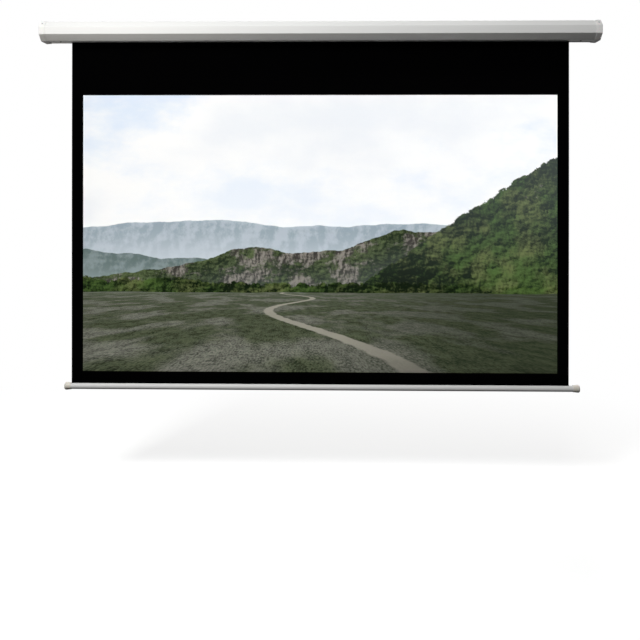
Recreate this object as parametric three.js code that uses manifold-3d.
// Pull-down projector screen for a wall: a six-sided case with moulded end caps, a spring
// roller with a two-pawl lock, a sheet of masked fabric and a round bottom bar.
// Millimetres. +X is the viewer's right, -Y is the viewer's side, +Z is up.
// The origin is the middle of the case's flat back, which lies against the wall.
// The screen is drawn pulled right down.
import * as THREE from "three";
import { mergeVertices } from "three/addons/utils/BufferGeometryUtils.js";
import Module from "manifold-3d";

// Clearances
const seatGap = 0.3; // between pieces that touch
const overrun = 2; // how far a cutter passes the face that it cuts

// Fabric: one woven sheet, with a black coat printed on its face around the picture
const fabricThickness = 0.45;
const pictureWidth = 2214;
const pictureHeight = 1294;
const sideBand = 53.5; // black, on each side of the picture
const dropHeight = 246.5; // black, from the case's underside to the picture
const footHeight = 57; // black, from the picture to the bottom tube
const coatThickness = 0.15;
const turnsLeft = 2; // turns of fabric that never leave the roller

// Case: a rolled profile with both front edges cut back, and a slot underneath
const caseHeight = 89.5;
const caseDepth = 90;
const caseCut = 27; // how far each front edge is cut back, down and along alike
const caseWall = 1.5;
const caseCorner = 3; // outer radius of the rolled corners
const caseEndRoom = 101.5; // from a bracket to the end of the case
const slotWidth = 14;
const slotHem = 5; // height of the edges turned up along the slot

// End caps: moulded cups that go over the ends of the case
const capSkirt = 2.5;
const capPlate = 7;
const capReach = 19; // how far the skirt overlaps the case
const capBevel = 2.5;
const capScrewInset = 5; // from the end plate to the screw

// Hanging plates: keyholes behind a notch in the case's back
const hangThickness = 2;
const hangHeight = 56;
const hangReach = 30; // from the end plate, along the case
const hangTongue = 4; // what the end plate's slot holds
const notchLength = 24;
const notchHeight = 36;
const keyHeadRadius = 5;
const keyNeckRadius = 2.75;
const keyRise = 14; // from the middle of the wide hole to the middle of the neck's end

// Roller tube, with a groove that holds the fabric's edge
const rollerRadius = 22;
const rollerWall = 1.5;
const rollerMargin = 11; // bare tube beyond the fabric at each end
const rollerSetback = 46; // roller's axis in front of the wall
const rollerRise = 2; // roller's axis above the middle of the case
const grooveWidth = 5;
const grooveDepth = 4;
const plugDepth = 14; // how far the end plugs sit in the tube
const flangeThickness = 4;

// Lock: pawls on the turning plate, around a notched hub on the still spindle
const rimDepth = 7;
const rimWall = 1.8;
const hubRadius = 9;
const hubNotch = 2.2;
const hubThickness = 4;
const pawlThickness = 4;
const pawlLength = 12.5; // from the pin to the middle of the nose
const pawlBoss = 3.4;
const pawlNose = 1.6;
const pawlClearance = 0.5; // pawl above the hub, lifted
const pawlPinRadius = 1.8;
const pawlPinSeat = 3; // how deep a pin sits in the plate's flange
const pawlPinHead = 2.8;
const pawlPinCrown = 1;
const pawlCircle = 16; // from the roller's axis to a pin
const pawlSwingDegrees = 25;
const sideFloat = 0.7; // between the plate and the pawls and hub

// Spindle, spring and their ends
const spindleRadius = 5;
const spindleFlats = 6; // across the two milled flats
const spindleTail = 6; // beyond the inner plug
const spindleReach = 8; // beyond the bracket
const springRadius = 9; // to the middle of the wire
const springWireRadius = 1.6;
const springTurns = 38;
const springPitch = 11.5;
const anchorRadius = 12;
const anchorLength = 8;
const anchorSetback = 4; // between the lock plate's plug and the anchor
const springNose = 14; // plain boss inside the spring's end turns
const innerPlugLength = 10;

// Idle end
const idlePinRadius = 4;
const idlePinSeat = 12;
const idlePinReach = 4; // beyond the bracket
const bushWall = 2.5;
const bushFlange = 9;
const bushFlangeThickness = 2;
const bushTail = 1; // what shows past the bracket

// Brackets, and the screws that hold them to the case's underside
const bracketThickness = 2;
const bracketRoom = 4; // from the lock plate's rim to the bracket
const footLength = 34;
const bracketScrewRadius = 1.9;
const bracketScrewHead = 4;
const bracketScrewCrown = 2.5;
const bracketScrewLength = 7;

// Screws of the end caps
const capScrewRadius = 1.6;
const capScrewHead = 3.6;
const capScrewCrown = 2;
const capScrewLength = 9;

// Bottom bar: a slotted tube on the hem rod, with a flared cap on each end
const barOverhang = 40; // mean length of bar beyond the fabric
const barShift = 9; // the bar sits this far to the right on its hem
const barRadius = 14;
const barWall = 1.2;
const barSlot = 4.2;
const hemRodRadius = 4;
const barCapGap = 1; // between the nearer cap and the fabric's edge
const barCapFloor = 6;
const barCapNeck = 15.7; // outer radius of the cap's mouth
const barCapRadius = 17.5; // and of its flared end
const barCapRound = 5.5; // rounding of the end's edge

// Fineness of the round surfaces
const fineSteps = 48;
const plainSteps = 24;
const screwSteps = 16;
const cornerSteps = 4;
const noseSteps = 6;
const rampSteps = 6;
const flareSteps = 6;
const wireSides = 5;
const stepsPerTurn = 8;
const rampShare = 0.55; // share of a half turn that a hub ramp takes

// Places worked out from the sizes
const fabricWidth = pictureWidth + 2 * sideBand;
const axisY = -rollerSetback;
const axisZ = rollerRise;
const underside = -caseHeight / 2;
const rollRadius = rollerRadius + seatGap + turnsLeft * (fabricThickness + coatThickness);
const coatY = axisY + rollRadius + seatGap;
const sheetY = coatY + coatThickness + seatGap;
const hangY = (coatY + sheetY + fabricThickness) / 2;
const slotFront = hangY - slotWidth / 2;
const slotRear = hangY + slotWidth / 2;
const pictureTop = underside - dropHeight;
const pictureFoot = pictureTop - pictureHeight;
const barZ = pictureFoot - footHeight - barRadius;
const rollerHalf = fabricWidth / 2 + rollerMargin;
const plateFace = rollerHalf + seatGap + flangeThickness;
const bracketX = plateFace + rimDepth + bracketRoom;
const caseHalf = bracketX + bracketThickness + caseEndRoom;
const plateInner = caseHalf - capPlate;
const shellHalf = plateInner - seatGap;
const barHalf = fabricWidth / 2 + barOverhang;
const barCapLength = barOverhang - barShift - barCapGap;
const boreRadius = spindleRadius + seatGap;
const plugRadius = rollerRadius - rollerWall - seatGap;
const bushRadius = idlePinRadius + seatGap + bushWall;
const anchorEnd = rollerHalf - plugDepth - anchorSetback;
const springEnd = anchorEnd - anchorLength - seatGap - springWireRadius;
const springLength = springTurns * springPitch;
const innerPlugFace = springEnd - springLength - springWireRadius - seatGap;
const noseRadius = springRadius * Math.cos(Math.PI / stepsPerTurn) - springWireRadius - seatGap;

const wasm = await Module();
wasm.setup();

// Closed mesh to solid, and back, for the joins and cuts
function solidFrom(geometry) {
  const bare = geometry.clone();
  bare.deleteAttribute("normal");
  bare.deleteAttribute("uv");
  const merged = mergeVertices(bare);
  return new wasm.Manifold(
    new wasm.Mesh({
      numProp: 3,
      vertProperties: new Float32Array(merged.attributes.position.array),
      triVerts: new Uint32Array(merged.index.array),
    }),
  );
}

function geometryFrom(solid) {
  const mesh = solid.getMesh();
  const geometry = new THREE.BufferGeometry();
  geometry.setAttribute("position", new THREE.BufferAttribute(mesh.vertProperties, 3));
  geometry.setIndex(new THREE.BufferAttribute(mesh.triVerts, 1));
  return geometry;
}

function cut(geometry, ...cutters) {
  const whole = solidFrom(geometry);
  return geometryFrom(cutters.reduce((left, cutter) => left.subtract(solidFrom(cutter)), whole));
}

function join(...geometries) {
  const solids = geometries.map(solidFrom);
  return geometryFrom(solids.reduce((sum, solid) => sum.add(solid)));
}

// A flat outline in Y and Z, carried along X
const lengthways = new THREE.Matrix4().makeBasis(
  new THREE.Vector3(0, 1, 0),
  new THREE.Vector3(0, 0, 1),
  new THREE.Vector3(1, 0, 0),
);

function carried(shape, fromX, toX, curveSegments = fineSteps) {
  const settings = { depth: toX - fromX, bevelEnabled: false, curveSegments };
  const geometry = new THREE.ExtrudeGeometry(shape, settings);
  return geometry.applyMatrix4(lengthways).translate(fromX, 0, 0);
}

// A profile of [along X, radius] pairs, turned about the X axis
function turned(profile, steps = plainSteps) {
  const points = profile.map(([along, radius]) => new THREE.Vector2(radius, along));
  return new THREE.LatheGeometry(points, steps).rotateZ(-Math.PI / 2);
}

function turnedRing(profile, steps = plainSteps) {
  return turned([...profile, profile[0]], steps);
}

function rod(fromX, toX, radius, steps = plainSteps) {
  return turned([[fromX, 0], [fromX, radius], [toX, radius], [toX, 0]], steps);
}

function block(fromX, toX, fromY, toY, fromZ, toZ) {
  const box = new THREE.BoxGeometry(toX - fromX, toY - fromY, toZ - fromZ);
  return box.translate((fromX + toX) / 2, (fromY + toY) / 2, (fromZ + toZ) / 2);
}

// Rounds each corner of an outline with an arc of its own radius
function rounded(corners) {
  const points = [];
  corners.forEach(({ at, radius }, i) => {
    if (radius <= 0) {
      points.push(at.clone());
      return;
    }
    const back = corners.at(i - 1).at.clone().sub(at).normalize();
    const onward = corners[(i + 1) % corners.length].at.clone().sub(at).normalize();
    const half = Math.acos(THREE.MathUtils.clamp(back.dot(onward), -1, 1)) / 2;
    const middle = back.clone().add(onward).normalize();
    const centre = at.clone().addScaledVector(middle, radius / Math.sin(half));
    const start = at.clone().addScaledVector(back, radius / Math.tan(half)).sub(centre);
    const end = at.clone().addScaledVector(onward, radius / Math.tan(half)).sub(centre);
    const sweep = Math.atan2(start.cross(end), start.dot(end));
    for (let step = 0; step <= cornerSteps; step++) {
      const turn = start.clone().rotateAround(new THREE.Vector2(), (sweep * step) / cornerSteps);
      points.push(turn.add(centre));
    }
  });
  return points;
}

// The case's six corners, grown outwards all round but at the back, in Y and Z
const slantShare = Math.tan(Math.PI / 8); // how far a grown corner slides along its flat face
function sixCorners(grow, backY, radius, backRadius) {
  const half = caseHeight / 2;
  const corner = (y, z, r) => ({ at: new THREE.Vector2(y, z), radius: r });
  const slide = grow * slantShare;
  return [
    corner(backY, half + grow, backRadius),
    corner(caseCut - caseDepth - slide, half + grow, radius),
    corner(-caseDepth - grow, half - caseCut + slide, radius),
    corner(-caseDepth - grow, caseCut - half - slide, radius),
    corner(caseCut - caseDepth - slide, -half - grow, radius),
    corner(backY, -half - grow, backRadius),
  ];
}

// A closed skin through outlines of equal count, each at its own X
function lofted(sections) {
  const count = sections[0].outline.length;
  const places = sections.flatMap(({ x, outline }) => outline.flatMap((p) => [x, p.x, p.y]));
  const faces = [];
  for (let row = 0; row < sections.length - 1; row++) {
    for (let i = 0; i < count; i++) {
      const here = row * count;
      const next = (i + 1) % count;
      faces.push(here + i, here + next, here + count + next);
      faces.push(here + i, here + count + next, here + count + i);
    }
  }
  const last = (sections.length - 1) * count;
  for (const [a, b, c] of THREE.ShapeUtils.triangulateShape(sections[0].outline, [])) {
    faces.push(c, b, a);
  }
  for (const [a, b, c] of THREE.ShapeUtils.triangulateShape(sections.at(-1).outline, [])) {
    faces.push(last + a, last + b, last + c);
  }
  const geometry = new THREE.BufferGeometry();
  geometry.setAttribute("position", new THREE.Float32BufferAttribute(places, 3));
  geometry.setIndex(faces);
  return geometry;
}

// Finishes
const finish = (color, roughness, metalness = 0) =>
  new THREE.MeshStandardMaterial({ color, roughness, metalness });
const whitePaint = finish(0xeeeeea, 0.45);
const whitePlastic = finish(0xf2f2ee, 0.5);
const creamPlastic = finish(0xece6d8, 0.5);
const zincPlate = finish(0xb9bcbe, 0.4, 0.9);
const blackOxide = finish(0x2b2a29, 0.5, 0.7);
const bareAluminium = finish(0xc9cccf, 0.35, 0.9);
const springSteel = finish(0x8b8d90, 0.35, 0.9);
const castZinc = finish(0x9fa2a5, 0.45, 0.8);
const whiteNylon = finish(0xe4e2da, 0.55);
const greyPlastic = finish(0x6d7073, 0.55);
const matteWhite = finish(0xf4f4f2, 0.9);
const matteBlack = finish(0x101010, 0.9);

function piece(name, geometry, material) {
  const mesh = new THREE.Mesh(geometry, material);
  mesh.name = name;
  return mesh;
}

// A screw along +X, its head's underside at zero
function screw(shank, shankRadius, headRadius, crown) {
  const dome = crown / 2;
  return turned([
    [-shank, 0],
    [-shank, shankRadius],
    [0, shankRadius],
    [0, headRadius],
    [dome, headRadius],
    [crown, headRadius / 2],
    [crown, 0],
  ], screwSteps);
}

// Where a screw sits: +X is turned outwards to the face's normal in Y and Z
function screwPlace(x, y, z, leanRadians) {
  const lean = new THREE.Matrix4().makeRotationX(leanRadians);
  const upright = new THREE.Matrix4().makeRotationY(-Math.PI / 2);
  return new THREE.Matrix4().makeTranslation(x, y, z).multiply(lean).multiply(upright);
}

function solidHole(place, length, radius) {
  return rod(-length - overrun, overrun, radius + seatGap, screwSteps).applyMatrix4(place);
}

// The cap screws stand on the upper slant, the bracket screws under the front lip
const slantMid = caseCut / 2;
const slantOut = (capSkirt + 2 * seatGap) * Math.SQRT1_2; // from the case's slant to the head
const capScrewPlace = (side) => screwPlace(
  side * (plateInner - capScrewInset),
  slantMid - caseDepth - slantOut,
  caseHeight / 2 - slantMid + slantOut,
  Math.PI / 4,
);
const footFront = caseCut - caseDepth + caseCorner;
const footRear = slotFront - caseWall - 2 * seatGap;
const bracketScrewPlace = (side) => screwPlace(
  side * (bracketX + bracketThickness + footLength / 2),
  (footFront + footRear) / 2,
  underside - seatGap,
  Math.PI,
);
const capScrewHole = (side) => solidHole(capScrewPlace(side), capScrewLength, capScrewRadius);
const bracketScrewHole = (side) =>
  solidHole(bracketScrewPlace(side), bracketScrewLength, bracketScrewRadius);

// Case shell: the rolled profile, with two screw holes and a notch for the keyhole at each end
function caseShell() {
  const edge = (y, z) => ({ at: new THREE.Vector2(y, z), radius: 0 });
  const outside = sixCorners(0, 0, caseCorner, caseCorner);
  const inside = sixCorners(-caseWall, -caseWall, caseCorner - caseWall, caseCorner - caseWall);
  const profile = rounded([
    outside.at(-1),
    ...outside.slice(0, -1),
    edge(slotFront, underside),
    edge(slotFront, underside + slotHem),
    edge(slotFront - caseWall, underside + slotHem),
    edge(slotFront - caseWall, underside + caseWall),
    ...inside.slice(0, -1).reverse(),
    inside.at(-1),
    edge(slotRear + caseWall, underside + caseWall),
    edge(slotRear + caseWall, underside + slotHem),
    edge(slotRear, underside + slotHem),
    edge(slotRear, underside),
  ]);
  const notch = (fromX, toX) =>
    block(fromX, toX, -caseWall - overrun, overrun, -notchHeight / 2, notchHeight / 2);
  return cut(
    carried(new THREE.Shape(profile), -shellHalf, shellHalf),
    notch(shellHalf - notchLength, shellHalf + overrun),
    notch(-shellHalf - overrun, notchLength - shellHalf),
    capScrewHole(1),
    capScrewHole(-1),
    bracketScrewHole(1),
    bracketScrewHole(-1),
  );
}

// End cap: a bevelled plate with a skirt that goes over the case on every side but the wall's
function endCap() {
  const grow = seatGap + capSkirt;
  const radius = caseCorner + grow;
  const full = rounded(sixCorners(grow, 0, radius, 0));
  const bevelled = rounded(sixCorners(grow - capBevel, 0, radius, 0));
  const mouth = plateInner - capReach;
  const cup = lofted([
    { x: mouth, outline: full },
    { x: caseHalf - capBevel, outline: full },
    { x: caseHalf, outline: bevelled },
  ]);
  const bore = rounded(sixCorners(seatGap, overrun, caseCorner + seatGap, 0));
  const tongueFront = -caseWall - hangThickness - 2 * seatGap;
  const tongueHalf = hangHeight / 2 + seatGap;
  return cut(
    cup,
    carried(new THREE.Shape(bore), mouth - overrun, plateInner),
    block(plateInner - overrun, plateInner + hangTongue, tongueFront, -caseWall, -tongueHalf, tongueHalf),
    capScrewHole(1),
  );
}

// Hanging plate: flat steel with a keyhole, behind the notch in the case's back
function hangPlate() {
  const rear = -caseWall - seatGap;
  const front = rear - hangThickness;
  const keyX = shellHalf - notchLength / 2;
  const through = (radius, z) =>
    rod(front - overrun, rear + overrun, radius).rotateZ(Math.PI / 2).translate(keyX, 0, z);
  const neck = block(
    keyX - keyNeckRadius,
    keyX + keyNeckRadius,
    front - overrun,
    rear + overrun,
    -keyRise / 2,
    keyRise / 2,
  );
  const outerEdge = plateInner + hangTongue - seatGap;
  return cut(
    block(plateInner - hangReach, outerEdge, front, rear, -hangHeight / 2, hangHeight / 2),
    through(keyHeadRadius, -keyRise / 2),
    neck,
    through(keyNeckRadius, keyRise / 2),
  );
}

// Bracket: a plate across the case, with a foot that is screwed down on the front lip
function bracket(holeForRoller) {
  const inset = caseWall + seatGap;
  const outline = rounded(sixCorners(-inset, -inset, caseCorner - caseWall, caseCorner - caseWall));
  const outerFace = bracketX + bracketThickness;
  const floor = underside + inset;
  const plate = carried(new THREE.Shape(outline), bracketX, outerFace);
  const footTop = floor + bracketThickness;
  const foot = block(bracketX, outerFace + footLength, footFront, footRear, floor, footTop);
  const slot = block(
    bracketX - overrun,
    outerFace + overrun,
    slotFront - inset,
    slotRear + inset,
    floor - overrun,
    underside + slotHem + seatGap,
  );
  return cut(join(plate, foot), slot, bracketScrewHole(1), holeForRoller);
}

// Round bar with two flats that face the wall and the viewer
function flatted(fromX, toX, radius, acrossFlats) {
  const side = (fromY, toY) =>
    block(fromX - overrun, toX + overrun, fromY, toY, -radius - overrun, radius + overrun);
  return cut(
    rod(fromX, toX, radius),
    side(acrossFlats / 2, radius + overrun),
    side(-radius - overrun, -acrossFlats / 2),
  );
}

const onAxis = (geometry) => geometry.translate(0, axisY, axisZ);
const bracketHole = (geometry) => onAxis(geometry);
const bushHole = () =>
  bracketHole(rod(bracketX - overrun, bracketX + bracketThickness + overrun, bushRadius + seatGap));
const tongueHole = () => bracketHole(flatted(
  bracketX - overrun,
  bracketX + bracketThickness + overrun,
  boreRadius,
  spindleFlats + 2 * seatGap,
));

// The roller's own pieces, about its axis, with the fabric's groove at the top
const grooveFloor = rollerRadius - grooveDepth;
const arc = (radius, fromAngle, toAngle, steps) => Array.from({ length: steps + 1 }, (_, i) => {
  const angle = fromAngle + ((toAngle - fromAngle) * i) / steps;
  return new THREE.Vector2(radius * Math.cos(angle), radius * Math.sin(angle));
});
const openArc = (radius, halfOpening) => {
  const edge = Math.asin(halfOpening / radius);
  return arc(radius, Math.PI / 2 + edge, (5 * Math.PI) / 2 - edge, fineSteps);
};

function rollerTube() {
  const half = grooveWidth / 2;
  const inner = rollerRadius - rollerWall;
  const bulge = half + rollerWall;
  const outline = [
    ...openArc(rollerRadius, half),
    new THREE.Vector2(half, grooveFloor),
    new THREE.Vector2(-half, grooveFloor),
  ];
  const hollow = [
    ...openArc(inner, bulge),
    new THREE.Vector2(bulge, grooveFloor - rollerWall),
    new THREE.Vector2(-bulge, grooveFloor - rollerWall),
  ];
  const shape = new THREE.Shape(outline);
  shape.holes.push(new THREE.Path(hollow));
  return carried(shape, -rollerHalf, rollerHalf);
}

function rollerSpline() {
  const half = grooveWidth / 2;
  const crown = Math.sqrt(rollerRadius ** 2 - half ** 2);
  const edge = fabricWidth / 2;
  return block(-edge, edge, seatGap - half, half - seatGap, grooveFloor + seatGap, crown - seatGap);
}

function fabricRoll() {
  const edge = fabricWidth / 2;
  const inner = rollerRadius + seatGap;
  return turnedRing([[-edge, inner], [-edge, rollRadius], [edge, rollRadius], [edge, inner]], fineSteps);
}

// Room in an end plug for the back of the tube's groove
const grooveRoom = (fromX, toX) => {
  const half = grooveWidth / 2 + rollerWall + seatGap;
  return block(fromX, toX, -half, half, grooveFloor - rollerWall - seatGap, rollerRadius + overrun);
};

// Lock plate: a plug in the tube's end, with a rim that shields the pawls
const pawlFace = plateFace + sideFloat;
function lockPlate() {
  const rimEnd = plateFace + rimDepth;
  const cup = turnedRing([
    [rollerHalf - plugDepth, boreRadius],
    [rollerHalf - plugDepth, plugRadius],
    [rollerHalf + seatGap, plugRadius],
    [rollerHalf + seatGap, rollerRadius],
    [rimEnd, rollerRadius],
    [rimEnd, rollerRadius - rimWall],
    [plateFace, rollerRadius - rimWall],
    [plateFace, boreRadius],
  ], fineSteps);
  const pinHole = (z) =>
    rod(plateFace - pawlPinSeat, plateFace + overrun, pawlPinRadius + seatGap).translate(0, 0, z);
  return cut(
    cup,
    grooveRoom(rollerHalf - plugDepth - overrun, rollerHalf + seatGap),
    pinHole(pawlCircle),
    pinHole(-pawlCircle),
  );
}

// Pawl: its pin at the origin and its nose along +Y, both ends round
const pawlTaper = Math.asin((pawlBoss - pawlNose) / pawlLength);
function pawl() {
  const side = Math.PI / 2 - pawlTaper;
  const nose = arc(pawlNose, -side, side, noseSteps).map((p) => p.setX(p.x + pawlLength));
  const boss = arc(pawlBoss, side, 2 * Math.PI - side, 2 * noseSteps);
  const blank = carried(new THREE.Shape([...nose, ...boss]), pawlFace, pawlFace + pawlThickness);
  const pinHole = rod(pawlFace - overrun, pawlFace + pawlThickness + overrun, pawlPinRadius + seatGap);
  return cut(blank, pinHole);
}

// How far a lifted pawl leans from the line to the axis, so that its flank just clears the hub
const pawlLean = Math.asin((hubRadius + pawlClearance + pawlBoss) / pawlCircle) - pawlTaper;

// Lock hub: two long ramps, each ending in a wall that stops a dropped pawl's nose
function lockHub() {
  const noseY = -pawlLength * Math.sin(pawlLean);
  const noseZ = pawlCircle - pawlLength * Math.cos(pawlLean);
  const reach = Math.hypot(noseY, noseZ);
  const wallAngle = Math.atan2(noseZ, noseY) + Math.asin(pawlNose / reach);
  const halfTurn = (start) => {
    const rampStart = start + Math.PI * (1 - rampShare);
    const land = arc(hubRadius, start, rampStart, rampSteps);
    const ramp = arc(hubRadius, rampStart, start + Math.PI, rampSteps)
      .map((p, i) => p.multiplyScalar(1 - (hubNotch * i) / (rampSteps * hubRadius)));
    return [...land, ...ramp.slice(1)];
  };
  const outline = [...halfTurn(wallAngle), ...halfTurn(wallAngle + Math.PI)];
  const toX = pawlFace + hubThickness;
  return cut(
    carried(new THREE.Shape(outline), pawlFace, toX),
    flatted(pawlFace - overrun, toX + overrun, boreRadius, spindleFlats + 2 * seatGap),
  );
}

function pawlPin() {
  const headFace = pawlFace + pawlThickness + seatGap;
  return turned([
    [plateFace - pawlPinSeat + seatGap, 0],
    [plateFace - pawlPinSeat + seatGap, pawlPinRadius],
    [headFace, pawlPinRadius],
    [headFace, pawlPinHead],
    [headFace + pawlPinCrown, pawlPinHead],
    [headFace + pawlPinCrown, 0],
  ], screwSteps);
}

// Spindle: still and round inside the roller, flatted through the hub and the bracket
function spindle() {
  const shoulder = pawlFace - seatGap;
  const outerEnd = bracketX + bracketThickness + spindleReach;
  return join(
    rod(innerPlugFace - innerPlugLength - spindleTail, shoulder, spindleRadius),
    flatted(shoulder - overrun, outerEnd, spindleRadius, spindleFlats),
  );
}

// Both ends of the spring are wound onto plain bosses, one still and one turning
function springAnchor() {
  const face = anchorEnd - anchorLength;
  return turnedRing([
    [face - springNose, boreRadius],
    [face - springNose, noseRadius],
    [face, noseRadius],
    [face, anchorRadius],
    [anchorEnd, anchorRadius],
    [anchorEnd, boreRadius],
  ]);
}

function innerPlug() {
  const far = innerPlugFace - innerPlugLength;
  const disc = turnedRing([
    [far, boreRadius],
    [far, plugRadius],
    [innerPlugFace, plugRadius],
    [innerPlugFace, noseRadius],
    [innerPlugFace + springNose, noseRadius],
    [innerPlugFace + springNose, boreRadius],
  ]);
  return cut(disc, grooveRoom(far - overrun, innerPlugFace + overrun));
}

// Torsion spring: one wire in an even helix around the spindle
class SpringWire extends THREE.Curve {
  getPoint(share, target = new THREE.Vector3()) {
    const angle = share * springTurns * 2 * Math.PI;
    return target.set(
      springEnd - share * springLength,
      springRadius * Math.cos(angle),
      springRadius * Math.sin(angle),
    );
  }
}

function rollerSpring() {
  const section = new THREE.Shape(arc(springWireRadius, 0, 2 * Math.PI, wireSides).slice(0, -1));
  const steps = springTurns * stepsPerTurn;
  return new THREE.ExtrudeGeometry(section, { steps, extrudePath: new SpringWire(), bevelEnabled: false });
}

// Idle end: a plug with a steel pin, which turns in a flanged bush in the bracket
function idlePlug() {
  const bore = idlePinRadius + seatGap;
  const plug = turnedRing([
    [rollerHalf - plugDepth, bore],
    [rollerHalf - plugDepth, plugRadius],
    [rollerHalf + seatGap, plugRadius],
    [rollerHalf + seatGap, rollerRadius],
    [plateFace, rollerRadius],
    [plateFace, bore],
  ], fineSteps);
  return cut(plug, grooveRoom(rollerHalf - plugDepth - overrun, rollerHalf + seatGap));
}

const idlePin = () =>
  rod(rollerHalf - idlePinSeat, bracketX + bracketThickness + idlePinReach, idlePinRadius);

function idleBush() {
  const bore = idlePinRadius + seatGap;
  const seat = bracketX - seatGap;
  return turnedRing([
    [seat - bushFlangeThickness, bore],
    [seat - bushFlangeThickness, bushFlange],
    [seat, bushFlange],
    [seat, bushRadius],
    [bracketX + bracketThickness + bushTail, bushRadius],
    [bracketX + bracketThickness + bushTail, bore],
  ]);
}

// Bottom bar, about its own axis: the hem rod hangs the tube by the edges of its slot
const barInner = barRadius - barWall;
const slotEdgeZ = Math.sqrt(barInner ** 2 - (barSlot / 2) ** 2);
const hemRodZ = slotEdgeZ - Math.sqrt((hemRodRadius + seatGap) ** 2 - (barSlot / 2) ** 2);
const sheetFoot = barZ + hemRodZ + hemRodRadius + seatGap;

function bottomTube() {
  const wall = [...openArc(barRadius, barSlot / 2), ...openArc(barInner, barSlot / 2).reverse()];
  const half = barHalf - barCapFloor - seatGap;
  return carried(new THREE.Shape(wall), -half, half);
}

function barCap() {
  const bore = barRadius + seatGap;
  const mouth = barHalf - barCapLength;
  const flareEnd = barHalf - barCapRound;
  const flare = Array.from({ length: flareSteps + 1 }, (_, i) => {
    const along = i / flareSteps;
    const swell = THREE.MathUtils.smoothstep(along, 0, 1);
    return [
      THREE.MathUtils.lerp(mouth, flareEnd, along),
      THREE.MathUtils.lerp(barCapNeck, barCapRadius, swell),
    ];
  });
  const edge = arc(barCapRound, Math.PI / 2, 0, cornerSteps)
    .map((p) => [flareEnd + p.x, barCapRadius - barCapRound + p.y]);
  const floor = barHalf - barCapFloor;
  const socket = [[floor, 0], [floor, bore], [mouth, bore]];
  return turned([...socket, ...flare, ...edge.slice(1), [barHalf, 0]], fineSteps);
}

// Fabric: the sheet hangs from the wall's side of the roll down into the bar
const edgeX = fabricWidth / 2;
const pictureX = pictureWidth / 2;
const coat = (fromX, toX, fromZ, toZ) =>
  block(fromX, toX, coatY, coatY + coatThickness, fromZ, toZ);
const sideCoat = (fromX, toX) => coat(fromX, toX, pictureFoot + seatGap, pictureTop - seatGap);

function onRoller(...meshes) {
  const group = new THREE.Group();
  group.position.set(0, axisY, axisZ);
  return group.add(...meshes);
}

function leftHanded(...meshes) {
  const group = new THREE.Group();
  group.scale.x = -1;
  return group.add(...meshes);
}

function fastened(name, place, geometry, material) {
  const mesh = piece(name, geometry, material);
  mesh.applyMatrix4(place);
  return mesh;
}

// A pawl or its pin on the plate, at an angle around the roller's axis
function onPawlCircle(mesh, pinAngle, armAngle = 0) {
  mesh.position.set(0, pawlCircle * Math.cos(pinAngle), pawlCircle * Math.sin(pinAngle));
  mesh.rotation.x = armAngle;
  return mesh;
}

const capScrew = () => screw(capScrewLength, capScrewRadius, capScrewHead, capScrewCrown);
const bracketScrew = () =>
  screw(bracketScrewLength, bracketScrewRadius, bracketScrewHead, bracketScrewCrown);
const topPin = Math.PI / 2;
const bottomPin = -Math.PI / 2;
const inwardAtTop = -Math.PI / 2 - pawlLean;
const inwardAtBottom = Math.PI / 2 - pawlLean;
const pawlSwing = THREE.MathUtils.degToRad(pawlSwingDegrees);

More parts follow.
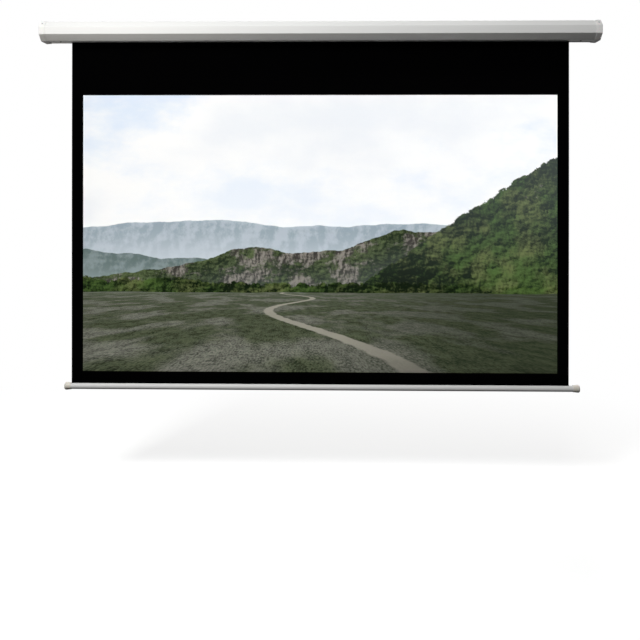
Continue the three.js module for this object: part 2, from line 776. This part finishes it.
const caseGroup = new THREE.Group().add(
  piece("case_shell", caseShell(), whitePaint),
  piece("end_cap_right", endCap(), whitePlastic),
  piece("hang_plate_right", hangPlate(), zincPlate),
  piece("bracket_right", bracket(tongueHole()), zincPlate),
  fastened("cap_screw_right", capScrewPlace(1), capScrew(), zincPlate),
  fastened("cap_screw_left", capScrewPlace(-1), capScrew(), zincPlate),
  fastened("bracket_screw_right", bracketScrewPlace(1), bracketScrew(), blackOxide),
  fastened("bracket_screw_left", bracketScrewPlace(-1), bracketScrew(), blackOxide),
  leftHanded(
    piece("end_cap_left", endCap(), whitePlastic),
    piece("hang_plate_left", hangPlate(), zincPlate),
    piece("bracket_left", bracket(bushHole()), zincPlate),
    piece("idle_bush", onAxis(idleBush()), whiteNylon),
  ),
);

const stillInRoller = onRoller(
  piece("spindle", spindle(), zincPlate),
  piece("lock_hub", lockHub(), castZinc),
  piece("spring_anchor", springAnchor(), castZinc),
  piece("roller_spring", rollerSpring(), springSteel),
);

const roller = onRoller(
  piece("roller_tube", rollerTube(), bareAluminium),
  piece("roller_spline", rollerSpline(), greyPlastic),
  piece("fabric_roll", fabricRoll(), matteBlack),
  piece("spring_plug", innerPlug(), castZinc),
  piece("lock_plate", lockPlate(), castZinc),
  onPawlCircle(piece("pawl_pin_upper", pawlPin(), zincPlate), topPin),
  onPawlCircle(piece("pawl_pin_lower", pawlPin(), zincPlate), bottomPin),
  onPawlCircle(piece("pawl_upper", pawl(), springSteel), topPin, inwardAtTop),
  onPawlCircle(piece("pawl_lower", pawl(), springSteel), bottomPin, inwardAtBottom - pawlSwing),
  leftHanded(
    piece("idle_plug", idlePlug(), greyPlastic),
    piece("idle_pin", idlePin(), zincPlate),
  ),
);

const fabric = new THREE.Group().add(
  piece(
    "screen_fabric",
    block(-edgeX, edgeX, sheetY, sheetY + fabricThickness, sheetFoot, axisZ),
    matteWhite,
  ),
  piece("mask_drop", coat(-edgeX, edgeX, pictureTop, axisZ), matteBlack),
  piece("mask_left", sideCoat(-edgeX, -pictureX), matteBlack),
  piece("mask_right", sideCoat(pictureX, edgeX), matteBlack),
  piece("mask_foot", coat(-edgeX, edgeX, sheetFoot, pictureFoot), matteBlack),
);

const hemRod = piece("hem_rod", rod(-edgeX, edgeX, hemRodRadius), greyPlastic);
hemRod.position.z = hemRodZ;
const tube = new THREE.Group().add(
  piece("bottom_tube", bottomTube(), whitePaint),
  piece("bar_cap_right", barCap(), creamPlastic),
  leftHanded(piece("bar_cap_left", barCap(), creamPlastic)),
);
tube.position.x = barShift;
const bar = new THREE.Group().add(hemRod, tube);
bar.position.set(0, hangY, barZ);

const screen = new THREE.Group().add(caseGroup, stillInRoller, roller, fabric, bar);
export default screen;
